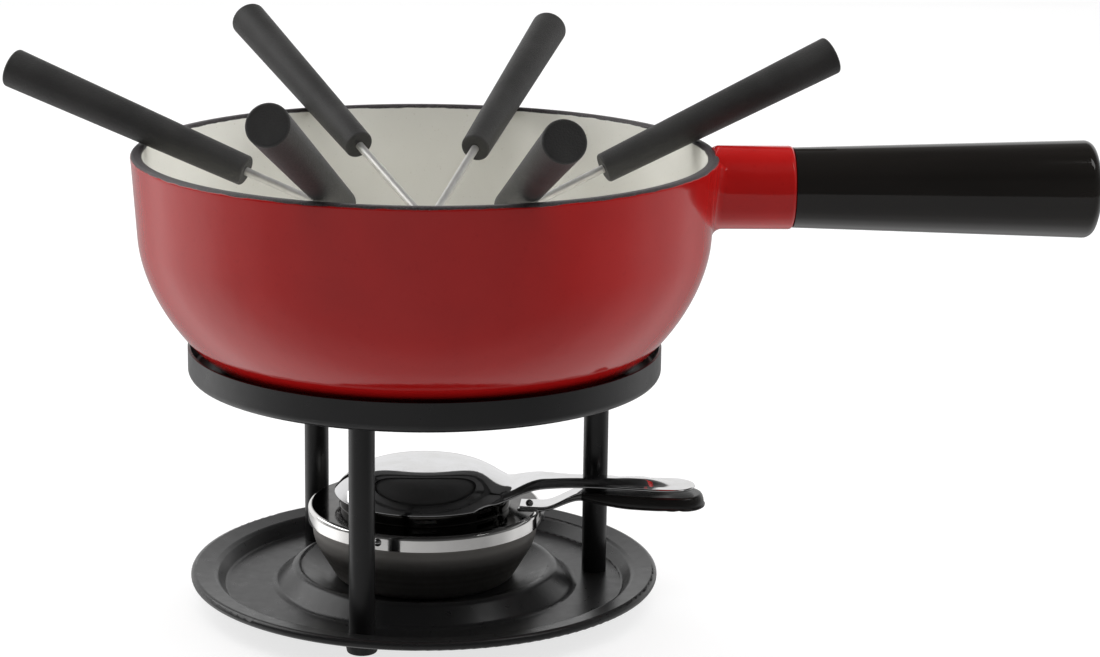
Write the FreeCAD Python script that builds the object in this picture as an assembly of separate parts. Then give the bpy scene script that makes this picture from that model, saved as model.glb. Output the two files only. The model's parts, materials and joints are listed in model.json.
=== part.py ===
"""Fondue pot set: cast-iron pot on a three-post stand, spirit burner and six forks.

Millimetres, +Z up. The origin is on the table, under the middle of the pot.
The pot's handle points along +X and the front of the set faces -Y.
"""
import FreeCAD, Part
import math
import os

# ---------------------------------------------------------------- pot
POT_RIM_R = 110.0          # outside radius at the rim
POT_HEIGHT = 81.3          # underside to rim
POT_WALL = 4.3
POT_FLOOR = 5.0
POT_WALL_STRAIGHT = 31.5   # depth of the nearly straight wall below the rim
POT_WALL_TAPER = 2.1       # radius lost over that depth
POT_BASE_R = POT_RIM_R * 0.661    # flat underside
POT_BELLY_PULL = 25.1      # how far the wall's direction carries into the belly
POT_BASE_PULL = 10.2       # how far the flat base's direction carries into the belly
RIM_ROUND = 1.5
STUB_R = 15.8
STUB_END_X = POT_RIM_R + 28.5
STUB_DROP = 13.5           # stub axis below the rim plane
STUB_END_ROUND = 1.8
STUB_FLARE = 5.0           # concave round where the stub leaves the wall
STUB_FLARE_OUT = 3.0       # end of that round beyond the rim's radius
STUB_ROOT = 2.0            # stub carried on inside the wall, before the cavity is cut

# ---------------------------------------------------------------- grip
GRIP_BASE_R = 15.2
GRIP_END_R = 18.6
GRIP_LENGTH = 113.0        # to the edge of the domed end
GRIP_CROWN = 4.2
GRIP_EDGE_ROUND = 4.0
STUD_R = 3.0
STUD_IN_STUB = 16.0
STUD_IN_GRIP = 30.0
INSERT_R = 5.5
INSERT_LENGTH = 34.0
THREAD_GAP = 0.05
CUT_PAST = 1.0             # cuts run this far past what they open

# ---------------------------------------------------------------- stand
SHEET = 1.0
FOOT_H = 5.5
FOOT_TOP_R = 6.6
FOOT_BOTTOM_R = 5.5
FOOT_EDGE_ROUND = 0.8
BAND_R = 45.0              # outside of the burner's band
RING_R = max(POT_RIM_R * 0.817, BAND_R + 44.9)    # takes the pot's belly, and the burner between the posts
TRAY_R = RING_R + 0.1
TRAY_DEPTH = 7.0           # rim plane above the tray's floor
TRAY_FLANGE = 9.4
TRAY_WALL_RUN = 3.6
TRAY_FLANGE_RISE = 1.4
TRAY_EDGE_DROP = 2.6
TRAY_EDGE_TURN = 2.0       # edge turned back in under the flange
TRAY_BENDS = [8.0, 3.0, 4.0, 1.8, 2.2, 1.2, 0.9]
RIDGE_OVER = 0.7           # sharp crest above the rim plane, before it is rounded
BURNER_SEAT_RISE = 2.5     # seat above the tray's floor
POST_CIRCLE_R = RING_R - 22.4
POST_R = 4.8
POST_LENGTH = 83.7
POST_AZIMUTHS = {"front": -109.8, "right": 10.2, "left": 130.2}
RING_WALL_H = 11.3
RING_SEAT_RISE = 3.0
RING_SEAT_R = 60.5
RING_HOLE_R = 45.5
RING_STEP_RUN = 1.5        # half the run of the sloping step up to the seat
RING_LIP = 2.6             # collar turned down round the hole
RING_BENDS = [2.4, 1.3, 1.3, 1.2]
SCREW_R = 2.0
SCREW_HEAD_R = 3.4
SCREW_HEAD_H = 2.0
SCREW_BITE = 10.0          # length inside the post
SCREW_HEAD_ROUND = 0.7
SCREW_GAP = 0.1
POST_DRILL_SPARE = 2.0     # drilled depth beyond the screw's end

# ---------------------------------------------------------------- burner
BAND_H = 5.8
BURNER_H = 28.7            # burner seat to the top of the regulator's flange
COVER_SHEET = 0.8
BOWL_SHEET = 0.8
TURN_GAP = 0.3             # between pieces that turn on each other
REST_GAP = 0.1             # between flat faces that slide on each other
BOWL_BASE_R = BAND_R - 11.5
BOWL_SHOULDER_R = BAND_R - 2.6
BOWL_SHOULDER_H = 15.5
BOWL_BENDS = [5.0, 16.0]
COLLAR_R = 31.5            # outside of the slotted collar
SLEEVE_TOP = 4.0           # sleeve above the flange
SLOT_COUNT = 8
SLOT_H = 2.0
SLOT_W = 9.0
SLOT_LIFT = 1.0            # slot above the flange
SLOT_CUT = 4.0             # half the radial length of the block that cuts a slot
COLLAR_BEND = 1.0
FLANGE_BENDS = [0.9, 1.1]
PAD_R = 30.0
PAD_H = 16.0
MESH_R = BAND_R - 4.5
MESH_T = 0.8
MESH_PITCH = 7.0
MESH_HOLE_R = 2.4
MESH_BORDER = 2.0
RIVET_HEAD_R = 1.5
RIVET_SHANK_R = 0.7
RIVET_TAIL = 0.4           # shank beyond the sheets that it joins
RIVET_TONGUE_IN = 3.5      # handle's rivet from the inner end of its tongue
RIVET_AZIMUTHS = (-113.0, 7.0, 127.0)

BURNER_SEAT_R = BOWL_BASE_R + 4.5     # recess in the tray that the burner stands in
RIDGE_CREST_R = BAND_R + 4.5
RIDGE_OUTER_R = BAND_R + 12.5

# ---------------------------------------------------------------- burner handles
REG_AZIMUTH = -6.0
REG_REACH = 107.5          # axis to the end of the handle
REG_WIDTH = 20.0
REG_NECK_WIDTH = 12.0
REG_LIFT = 7.2             # top of the handle above the flange
REG_DEPTH = 4.2
REG_TONGUE_IN = 37.0
REG_CHANNEL_X = 60.0
LUG_WIDTH = 8.0
LID_AZIMUTH = -5.0
LID_R = 34.6
LID_DOME_H = 13.5
LID_RIM_LIFT = 4.5         # lid rim above the regulator's flange
LID_SHEET = 1.0
LID_GAP = 0.4              # between the collar and the inside of the dome
LID_REACH = 103.5
LID_WIDTH = 14.0
LID_NECK_WIDTH = 10.0
LID_CHANNEL_DEPTH = 3.6
LID_CHANNEL_X = 62.0
LID_NECK_END_X = 48.0
HANDLE_GAP = 0.7           # between the two burner handles
PADDLE_GROW = 0.55         # share of the handle's length over which it widens
PADDLE_EASE = 8.0          # how far back the widening curve is eased
PADDLE_EASE_SHARE = 0.35   # share of the widening reached there
RAMP_FOOT = 2.0            # regulator handle: flat part beyond the band
RAMP_HEAD = 4.0            # and the end of the ramp before the channel
LAP = 2.0                  # strip lapped into the channel
LUG_HANG = 1.0             # lug's end above the band's lower edge
NECK_ROOT = 0.55           # lid: where the neck's blank starts, as a share of the rim's radius
NECK_SPREAD = 0.8          # its half width there, as a share of the dome's
NECK_PULL = 0.95
NECK_FLOW = 3.0            # how much wider the neck still is at the dome's edge

# ---------------------------------------------------------------- forks
FORK_LENGTH = 258.0
FORK_GRIP_LENGTH = 101.0
FORK_GRIP_OUT_R = 7.5
FORK_GRIP_IN_R = 5.8
FORK_EDGE_ROUND = 1.0
FORK_SHAFT_R = 1.6
FORK_SHAFT_IN_GRIP = 38.0
FORK_HEAD = 28.0
FORK_HEAD_WIDTH = 7.0
FORK_PRONG_W = 1.4
FORK_THICK = 1.6
FORK_POINT = 4.0           # length of a prong's point
FORK_NECK = 4.0            # taper from the head to the shaft
FORK_SPLIT = 0.75          # share of the head's length that is split into prongs
FORK_BORE_GAP = 0.03
FORK_RIM_GAP = 0.35        # under the grip where it leans on the rim
FORK_TIP_GAP = 0.6         # under the prongs where they meet the bowl
FORKS_RIM_R = 110.0        # rim radius that the tip radii below are for
# azimuth on the rim, radius of the tips, azimuth of the tips
FORKS = {
    1: (175.0, 90.0, -36.0),
    2: (116.0, 78.0, -51.0),
    3: (71.0, 84.0, -112.0),
    4: (13.0, 74.5, -163.0),
    5: (250.0, 67.0, 88.5),
    6: (289.5, 79.5, 85.0),
}

# ---------------------------------------------------------------- heights
Z = FreeCAD.Vector(0, 0, 1)
X = FreeCAD.Vector(1, 0, 0)
TRAY_UNDER_Z = FOOT_H
TRAY_FLOOR_Z = TRAY_UNDER_Z + SHEET
RING_UNDER_Z = TRAY_FLOOR_Z + POST_LENGTH
RING_FLOOR_Z = RING_UNDER_Z + SHEET
POT_BASE_Z = RING_FLOOR_Z + RING_SEAT_RISE
POT_RIM_Z = POT_BASE_Z + POT_HEIGHT
STUB_Z = POT_RIM_Z - STUB_DROP
SEAT_Z = TRAY_FLOOR_Z + BURNER_SEAT_RISE
FLANGE_Z = SEAT_Z + BURNER_H
BURNER_TOP_Z = FLANGE_Z - COVER_SHEET - REST_GAP
LID_RIM_Z = FLANGE_Z + LID_RIM_LIFT
REG_TOP_Z = FLANGE_Z + REG_LIFT
LID_CHANNEL_Z = REG_TOP_Z + HANDLE_GAP


def vec(x, y, z):
    return FreeCAD.Vector(x, y, z)


def polar(radius, azimuth, z=0.0):
    angle = math.radians(azimuth)
    return vec(radius * math.cos(angle), radius * math.sin(angle), z)


def turned(shape, azimuth):
    """A copy of a shape built along +X, turned about the vertical axis."""
    copy = shape.copy()
    copy.rotate(vec(0, 0, 0), Z, azimuth)
    return copy


def revolved(edges):
    """Solid of revolution about Z of a closed outline in the XZ plane."""
    wire = Part.Wire(Part.__sortEdges__(edges))
    solid = Part.Face(wire).revolve(vec(0, 0, 0), Z, 360)
    return solid if solid.ShapeType == "Solid" else Part.Solid(solid.Shells[0])


def line(a, b):
    return Part.LineSegment(vec(a[0], 0, a[1]), vec(b[0], 0, b[1])).toShape()


def offset_path(points, distance):
    """The open path moved sideways; positive is to the left of its direction."""
    normals = []
    for (ax, az), (bx, bz) in zip(points, points[1:]):
        length = math.hypot(bx - ax, bz - az)
        normals.append(((az - bz) / length, (bx - ax) / length))
    moved = [(points[0][0] + normals[0][0] * distance, points[0][1] + normals[0][1] * distance)]
    for point, before, after in zip(points[1:], normals, normals[1:]):
        share = distance / (1 + before[0] * after[0] + before[1] * after[1])
        moved.append((point[0] + (before[0] + after[0]) * share, point[1] + (before[1] + after[1]) * share))
    moved.append((points[-1][0] + normals[-1][0] * distance, points[-1][1] + normals[-1][1] * distance))
    return moved


def bend(before, corner, after, radius):
    """Start, middle and end of the arc that rounds one corner of a path."""
    ax, az = before[0] - corner[0], before[1] - corner[1]
    bx, bz = after[0] - corner[0], after[1] - corner[1]
    la, lb = math.hypot(ax, az), math.hypot(bx, bz)
    ax, az, bx, bz = ax / la, az / la, bx / lb, bz / lb
    half = math.acos(max(-1.0, min(1.0, ax * bx + az * bz))) / 2
    back = radius / math.tan(half)
    mx, mz = ax + bx, az + bz
    lm = math.hypot(mx, mz)
    reach = radius / math.sin(half) - radius
    start = (corner[0] + ax * back, corner[1] + az * back)
    middle = (corner[0] + mx / lm * reach, corner[1] + mz / lm * reach)
    end = (corner[0] + bx * back, corner[1] + bz * back)
    return start, middle, end


def rounded_path(points, radii):
    """Edges along an open path whose inner corners are rounded."""
    edges = []
    here = points[0]
    for i, radius in enumerate(radii, start=1):
        start, middle, end = bend(points[i - 1], points[i], points[i + 1], radius)
        edges.append(line(here, start))
        arc = Part.Arc(*(vec(p[0], 0, p[1]) for p in (start, middle, end)))
        edges.append(arc.toShape())
        here = end
    edges.append(line(here, points[-1]))
    return edges


def sheet(points, radii, thickness):
    """Sheet metal of revolution: a path thickened to both sides, with concentric bends."""
    half = thickness / 2
    sides = []
    for side in (half, -half):
        own = []
        for i, radius in enumerate(radii, start=1):
            (ax, az), (bx, bz), (cx, cz) = points[i - 1], points[i], points[i + 1]
            left_turn = (bx - ax) * (cz - bz) - (bz - az) * (cx - bx) > 0
            own.append(radius - side if left_turn else radius + side)
        sides.append((offset_path(points, side), own))
    (left, left_radii), (right, right_radii) = sides
    edges = rounded_path(left, left_radii) + rounded_path(right, right_radii)
    edges += [line(left[0], right[0]), line(left[-1], right[-1])]
    return revolved(edges)


def cylinder(radius, height, base, direction=Z):
    return Part.makeCylinder(radius, height, base, direction)


def bar(x0, x1, width, z0, z1):
    """Box along +X, centred on the XZ plane."""
    return Part.makeBox(x1 - x0, width, z1 - z0, vec(x0, -width / 2, z0))


# ---------------------------------------------------------------- pot
def wall_curve(inset, rise):
    """Belly of the pot, moved in from the outside wall and up from the underside."""
    top = (POT_RIM_R - POT_WALL_TAPER - inset, POT_RIM_Z - POT_WALL_STRAIGHT)
    slope = math.hypot(POT_WALL_TAPER, POT_WALL_STRAIGHT)
    pull = (top[0] - POT_WALL_TAPER / slope * POT_BELLY_PULL,
            top[1] - POT_WALL_STRAIGHT / slope * POT_BELLY_PULL)
    base = (POT_BASE_R - rise / 2, POT_BASE_Z + rise)
    poles = [top, pull, (base[0] + POT_BASE_PULL, base[1]), base]
    curve = Part.BezierCurve()
    curve.setPoles([vec(p[0], 0, p[1]) for p in poles])
    return curve, top, base


def cup(inset, rise, lift):
    """Solid inside one face of the pot's wall, up to a height above the rim."""
    curve, top, base = wall_curve(inset, rise)
    slope = POT_WALL_TAPER / POT_WALL_STRAIGHT
    head = (top[0] + (POT_WALL_STRAIGHT + lift) * slope, POT_RIM_Z + lift)
    edges = [line((0, base[1]), base), curve.toShape(), line(top, head)]
    edges += [line(head, (0, head[1])), line((0, head[1]), (0, base[1]))]
    return revolved(edges)


def pot_body():
    outer = cup(0, 0, 0)
    cavity = cup(POT_WALL, POT_FLOOR, CUT_PAST)
    bowl = outer.cut(cavity)
    top = [e for e in bowl.Edges if abs(e.BoundBox.ZMin - POT_RIM_Z) < 0.01]
    bowl = bowl.makeFillet(RIM_ROUND, [e for e in top if e.BoundBox.XLength > POT_RIM_R])
    start_x = POT_RIM_R - POT_WALL - STUB_ROOT
    stub = cylinder(STUB_R, STUB_END_X - start_x, vec(start_x, 0, STUB_Z), X)
    ends = [e for e in stub.Edges if abs(e.BoundBox.XMin - STUB_END_X) < 0.01 and e.BoundBox.XLength < 0.01]
    stub = stub.makeFillet(STUB_END_ROUND, ends)
    flare_x = POT_RIM_R + STUB_FLARE_OUT
    flare = cylinder(STUB_R + STUB_FLARE, flare_x - start_x, vec(start_x, 0, STUB_Z), X)
    ball = Part.makeTorus(STUB_R + STUB_FLARE, STUB_FLARE, vec(flare_x, 0, STUB_Z), X)
    flare = flare.cut(ball)
    keep = cylinder(STUB_END_X, POT_HEIGHT - RIM_ROUND, vec(0, 0, POT_BASE_Z))
    flare = flare.common(keep)
    mouth = cylinder(POT_RIM_R - RIM_ROUND, STUB_R, vec(0, 0, POT_RIM_Z))
    body = bowl.fuse([stub, flare]).cut(cavity).cut(mouth)
    drill = STUD_IN_STUB + CUT_PAST
    bore = cylinder(STUD_R + THREAD_GAP, drill, vec(STUB_END_X - drill, 0, STUB_Z), X)
    return body.cut(bore).removeSplitter()


def handle_stud():
    return cylinder(STUD_R, STUD_IN_STUB + STUD_IN_GRIP, vec(STUB_END_X - STUD_IN_STUB, 0, STUB_Z), X)


def handle_insert():
    sleeve = cylinder(INSERT_R, INSERT_LENGTH, vec(STUB_END_X, 0, STUB_Z), X)
    return sleeve.cut(cylinder(STUD_R + THREAD_GAP, INSERT_LENGTH, vec(STUB_END_X, 0, STUB_Z), X))


def handle_grip():
    start = vec(STUB_END_X, 0, STUB_Z)
    grip = Part.makeCone(GRIP_BASE_R, GRIP_END_R, GRIP_LENGTH, start, X)
    dome_r = (GRIP_END_R ** 2 + GRIP_CROWN ** 2) / (2 * GRIP_CROWN)
    end_x = STUB_END_X + GRIP_LENGTH
    dome = Part.makeSphere(dome_r, vec(end_x + GRIP_CROWN - dome_r, 0, STUB_Z))
    dome = dome.common(cylinder(GRIP_END_R, GRIP_CROWN, vec(end_x, 0, STUB_Z), X))
    grip = grip.fuse(dome).removeSplitter()
    edges = [e for e in grip.Edges if abs(e.BoundBox.XMin - end_x) < 0.2 and e.BoundBox.XLength < 0.4]
    grip = grip.makeFillet(GRIP_EDGE_ROUND, [e for e in edges if e.BoundBox.ZLength > GRIP_END_R])
    return grip.cut(cylinder(INSERT_R, INSERT_LENGTH, start, X))


# ---------------------------------------------------------------- stand
def post_places():
    return {name: polar(POST_CIRCLE_R, azimuth) for name, azimuth in POST_AZIMUTHS.items()}


def screw_holes(z0, z1):
    holes = [cylinder(SCREW_R + SCREW_GAP, z1 - z0, p + Z * z0) for p in post_places().values()]
    return Part.makeCompound(holes)


def base_tray():
    floor_z = TRAY_UNDER_Z + SHEET / 2
    seat_z = floor_z + BURNER_SEAT_RISE
    crest_z = floor_z + TRAY_DEPTH
    inner_r = TRAY_R - TRAY_FLANGE
    edge_r = TRAY_R - SHEET / 2
    flange_z = floor_z + TRAY_DEPTH - SHEET / 2
    points = [(0, seat_z), (BURNER_SEAT_R, seat_z),
              (RIDGE_CREST_R, crest_z + RIDGE_OVER), (RIDGE_OUTER_R, floor_z),
              (inner_r - TRAY_WALL_RUN, floor_z), (inner_r, flange_z - TRAY_FLANGE_RISE), (edge_r, flange_z),
              (edge_r, flange_z - TRAY_EDGE_DROP), (edge_r - TRAY_EDGE_TURN, flange_z - TRAY_EDGE_DROP)]
    tray = sheet(points, TRAY_BENDS, SHEET)
    return tray.cut(screw_holes(TRAY_UNDER_Z - CUT_PAST, TRAY_FLOOR_Z + CUT_PAST))


def post(place):
    rod = cylinder(POST_R, POST_LENGTH, place + Z * TRAY_FLOOR_Z)
    depth = SCREW_BITE + POST_DRILL_SPARE
    low = cylinder(SCREW_R + THREAD_GAP, depth, place + Z * TRAY_FLOOR_Z)
    high = cylinder(SCREW_R + THREAD_GAP, depth, place + Z * (RING_UNDER_Z - depth))
    return rod.cut(low).cut(high)


def support_ring():
    wall_r = RING_R - SHEET / 2
    floor_z = RING_UNDER_Z + SHEET / 2
    seat_z = floor_z + RING_SEAT_RISE
    lip_r = RING_HOLE_R + SHEET / 2
    points = [(wall_r, RING_UNDER_Z + RING_WALL_H), (wall_r, floor_z), (RING_SEAT_R + RING_STEP_RUN, floor_z),
              (RING_SEAT_R - RING_STEP_RUN, seat_z), (lip_r, seat_z), (lip_r, seat_z - RING_LIP)]
    ring = sheet(points, RING_BENDS, SHEET)
    return ring.cut(screw_holes(RING_UNDER_Z - CUT_PAST, RING_FLOOR_Z + CUT_PAST))


def screw(head_base, direction, shank_length):
    """Pan-head screw: the shank runs from the head's base along the direction."""
    head = cylinder(SCREW_HEAD_R, SCREW_HEAD_H, head_base - direction * SCREW_HEAD_H, direction)
    top = [e for e in head.Edges if abs((e.CenterOfMass - head_base).Length - SCREW_HEAD_H) < 0.01]
    head = head.makeFillet(SCREW_HEAD_ROUND, top)
    return head.fuse(cylinder(SCREW_R, shank_length, head_base, direction)).removeSplitter()


def ring_screws():
    length = SHEET + SCREW_BITE
    return Part.makeCompound([screw(p + Z * RING_FLOOR_Z, Z * -1, length) for p in post_places().values()])


def foot_screws():
    base_z = FOOT_H / 2
    length = FOOT_H - base_z + SHEET + SCREW_BITE
    return Part.makeCompound([screw(p + Z * base_z, Z, length) for p in post_places().values()])


def foot(place):
    pad = Part.makeCone(FOOT_BOTTOM_R, FOOT_TOP_R, FOOT_H, place)
    bottom = [e for e in pad.Edges if e.BoundBox.ZMax < 0.01]
    pad = pad.makeFillet(FOOT_EDGE_ROUND, bottom)
    pad = pad.cut(cylinder(SCREW_R + SCREW_GAP, FOOT_H, place))
    return pad.cut(cylinder(SCREW_HEAD_R + SCREW_GAP, FOOT_H / 2, place))


# ---------------------------------------------------------------- burner
def bowl_outer_r():
    return BAND_R - COVER_SHEET - TURN_GAP


def burner_bowl():
    half = BOWL_SHEET / 2
    top_r = bowl_outer_r() - half
    points = [(0, SEAT_Z + half), (BOWL_BASE_R, SEAT_Z + half), (BOWL_SHOULDER_R, SEAT_Z + BOWL_SHOULDER_H),
              (top_r, BURNER_TOP_Z - COVER_SHEET - REST_GAP)]
    return sheet(points, BOWL_BENDS, BOWL_SHEET)


def burner_pad():
    return cylinder(PAD_R, PAD_H, vec(0, 0, SEAT_Z + BOWL_SHEET))


def burner_mesh():
    base_z = SEAT_Z + BOWL_SHEET + PAD_H
    disc = cylinder(MESH_R, MESH_T, vec(0, 0, base_z))
    count = int(MESH_R / MESH_PITCH) + 1
    holes = []
    for row in range(-count, count + 1):
        for column in range(-count, count + 1):
            x = (column + 0.5 * (row % 2)) * MESH_PITCH
            y = row * MESH_PITCH * math.sqrt(3) / 2
            if math.hypot(x, y) + MESH_HOLE_R < MESH_R - MESH_BORDER:
                holes.append(cylinder(MESH_HOLE_R, MESH_T, vec(x, y, base_z)))
    return disc.cut(Part.makeCompound(holes))


def air_slots(z0):
    """Ring of blocks that cut the air slots through collar and sleeve alike."""
    block = bar(COLLAR_R - SLOT_CUT, COLLAR_R + SLOT_CUT, SLOT_W, z0, z0 + SLOT_H)
    return Part.makeCompound([turned(block, i * 360 / SLOT_COUNT) for i in range(SLOT_COUNT)])


def lid_sphere(inset):
    """Centre height and radius of the lid's dome, inset from its outside."""
    radius = (LID_R ** 2 + LID_DOME_H ** 2) / (2 * LID_DOME_H)
    return LID_RIM_Z + LID_DOME_H - radius, radius - inset


def burner_top():
    collar_r = COLLAR_R - COVER_SHEET / 2
    centre_z, inner_r = lid_sphere(LID_SHEET)
    collar_top = centre_z + math.sqrt(inner_r ** 2 - COLLAR_R ** 2) - LID_GAP
    plate_z = BURNER_TOP_Z - COVER_SHEET / 2
    plate_r = bowl_outer_r() - TURN_GAP
    top = sheet([(collar_r, collar_top), (collar_r, plate_z), (plate_r, plate_z)], [COLLAR_BEND], COVER_SHEET)
    return top.cut(air_slots(FLANGE_Z + SLOT_LIFT))


def regulator_ring():
    sleeve_r = COLLAR_R + TURN_GAP + COVER_SHEET / 2
    flange_z = FLANGE_Z - COVER_SHEET / 2
    band_r = BAND_R - COVER_SHEET / 2
    points = [(sleeve_r, FLANGE_Z + SLEEVE_TOP), (sleeve_r, flange_z),
              (band_r, flange_z), (band_r, FLANGE_Z - BAND_H)]
    ring = sheet(points, FLANGE_BENDS, COVER_SHEET)
    ring = ring.cut(air_slots(FLANGE_Z + SLOT_LIFT))
    return ring.cut(Part.makeCompound(rivet_shanks(THREAD_GAP)))


def rivet_shanks(gap):
    length = COVER_SHEET + RIVET_HEAD_R - RIVET_TAIL
    pins = []
    for azimuth in RIVET_AZIMUTHS:
        out = polar(1, azimuth)
        start = out * (BAND_R - COVER_SHEET) + Z * (FLANGE_Z - BAND_H / 2)
        pins.append(cylinder(RIVET_SHANK_R + gap, length, start, out))
    tongue = polar(REG_TONGUE_IN + RIVET_TONGUE_IN, REG_AZIMUTH, FLANGE_Z - COVER_SHEET)
    pins.append(cylinder(RIVET_SHANK_R + gap, COVER_SHEET + SHEET + RIVET_TAIL, tongue))
    return pins


def regulator_rivets():
    """Small domed rivets: three round the band and one through the handle's tongue."""
    pins = rivet_shanks(0)
    rivets = []
    for azimuth, pin in zip(RIVET_AZIMUTHS, pins):
        out = polar(1, azimuth)
        face = out * BAND_R + Z * (FLANGE_Z - BAND_H / 2)
        ball = Part.makeSphere(RIVET_HEAD_R, face)
        head = ball.common(cylinder(RIVET_HEAD_R, RIVET_HEAD_R, face, out))
        rivets.append(head.fuse(pin).removeSplitter())
    face = polar(REG_TONGUE_IN + RIVET_TONGUE_IN, REG_AZIMUTH, FLANGE_Z + SHEET)
    head = Part.makeSphere(RIVET_HEAD_R, face).common(cylinder(RIVET_HEAD_R, RIVET_HEAD_R, face))
    rivets.append(head.fuse(pins[-1]).removeSplitter())
    return Part.makeCompound(rivets)


def paddle(x0, reach, neck_width, width, z0, z1, inset):
    """Flat handle blank along +X: a neck that widens to a round end."""
    end_r = width / 2 - inset
    neck = neck_width / 2 - inset
    centre_x = reach - width / 2
    grow_x = x0 + (centre_x - x0) * PADDLE_GROW
    ease_y = -neck - (end_r - neck) * PADDLE_EASE_SHARE
    right = [vec(x0 + inset, -neck, z0), vec(grow_x - PADDLE_EASE, ease_y, z0)]
    spline = Part.BezierCurve()
    spline.setPoles([right[0], right[1], vec(grow_x, -end_r, z0), vec(centre_x, -end_r, z0)])
    mirror = Part.BezierCurve()
    mirror.setPoles([vec(p.x, -p.y, p.z) for p in spline.getPoles()])
    tip = Part.Arc(vec(centre_x, -end_r, z0), vec(centre_x + end_r, 0, z0), vec(centre_x, end_r, z0))
    back = Part.LineSegment(vec(x0 + inset, neck, z0), vec(x0 + inset, -neck, z0))
    edges = [spline.toShape(), tip.toShape(), mirror.toShape(), back.toShape()]
    wire = Part.Wire(Part.__sortEdges__(edges))
    return Part.Face(wire).extrude(vec(0, 0, z1 - z0))


def strip(points, width, thickness):
    """Bent strip along +X: a path in the XZ plane thickened downwards."""
    lower = offset_path(points, -thickness)
    outline = list(points) + lower[::-1]
    wire = Part.makePolygon([vec(x, -width / 2, z) for x, z in outline + [outline[0]]])
    return Part.Face(wire).extrude(vec(0, width, 0))


def regulator_handle():
    bottom_z = REG_TOP_Z - REG_DEPTH
    blank = paddle(REG_CHANNEL_X, REG_REACH, REG_NECK_WIDTH, REG_WIDTH, bottom_z, REG_TOP_Z, 0)
    hollow = paddle(REG_CHANNEL_X, REG_REACH, REG_NECK_WIDTH, REG_WIDTH, bottom_z, REG_TOP_Z - SHEET, SHEET)
    channel = blank.cut(hollow)
    tongue_z = FLANGE_Z + SHEET
    path = [(REG_TONGUE_IN, tongue_z), (BAND_R + RAMP_FOOT, tongue_z),
            (REG_CHANNEL_X - RAMP_HEAD, REG_TOP_Z), (REG_CHANNEL_X + LAP, REG_TOP_Z)]
    ramp = strip(path, REG_NECK_WIDTH, SHEET)
    lug_in = BAND_R + TURN_GAP
    lug = bar(lug_in, lug_in + SHEET, LUG_WIDTH, FLANGE_Z - BAND_H + LUG_HANG, FLANGE_Z + SHEET)
    handle = turned(channel.fuse([ramp, lug]).removeSplitter(), REG_AZIMUTH)
    return handle.cut(rivet_shanks(THREAD_GAP)[-1])


def snuffer_lid():
    centre_z, outer_r = lid_sphere(0)
    inner_r = outer_r - LID_SHEET
    outer = Part.makeSphere(outer_r, vec(0, 0, centre_z))
    inner = Part.makeSphere(inner_r, vec(0, 0, centre_z))
    above = cylinder(LID_R, LID_DOME_H, vec(0, 0, LID_RIM_Z))
    dome = outer.common(above).cut(inner)
    top_z = LID_CHANNEL_Z + LID_SHEET
    neck_in = LID_R * NECK_ROOT
    shoulder = math.sqrt(LID_R ** 2 - neck_in ** 2) * NECK_SPREAD
    half = LID_NECK_WIDTH / 2
    left = Part.BezierCurve()
    left.setPoles([vec(neck_in, shoulder, top_z), vec(LID_R * NECK_PULL, half + NECK_FLOW, top_z),
                   vec(LID_R, half, top_z), vec(LID_NECK_END_X, half, top_z)])
    right = Part.BezierCurve()
    right.setPoles([vec(p.x, -p.y, p.z) for p in left.getPoles()])
    ends = [Part.LineSegment(vec(neck_in, shoulder, top_z), vec(neck_in, -shoulder, top_z)).toShape(),
            Part.LineSegment(vec(LID_NECK_END_X, half, top_z), vec(LID_NECK_END_X, -half, top_z)).toShape()]
    wire = Part.Wire(Part.__sortEdges__([left.toShape(), right.toShape()] + ends))
    neck = Part.Face(wire).extrude(vec(0, 0, -LID_SHEET)).cut(inner)
    bridge = bar(LID_NECK_END_X - LAP, LID_CHANNEL_X + LAP, LID_NECK_WIDTH, LID_CHANNEL_Z, top_z)
    rim_z = LID_CHANNEL_Z + LID_CHANNEL_DEPTH
    blank = paddle(LID_CHANNEL_X, LID_REACH, LID_NECK_WIDTH, LID_WIDTH, LID_CHANNEL_Z, rim_z, 0)
    hollow = paddle(LID_CHANNEL_X, LID_REACH, LID_NECK_WIDTH, LID_WIDTH, top_z, rim_z, LID_SHEET)
    lid = dome.fuse([neck, bridge, blank.cut(hollow)]).removeSplitter()
    return turned(lid, LID_AZIMUTH)


# ---------------------------------------------------------------- forks
def bowl_surface(radius):
    """Height and slope of the pot's inside at a radius."""
    curve, top, base = wall_curve(POT_WALL, POT_FLOOR)
    if radius <= base[0]:
        return base[1], 0.0
    low, high = curve.FirstParameter, curve.LastParameter
    for _ in range(40):
        middle = (low + high) / 2
        if curve.value(middle).x > radius:
            low = middle
        else:
            high = middle
    tangent = curve.tangent(low)[0]
    return curve.value(low).z, tangent.z / tangent.x


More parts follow.
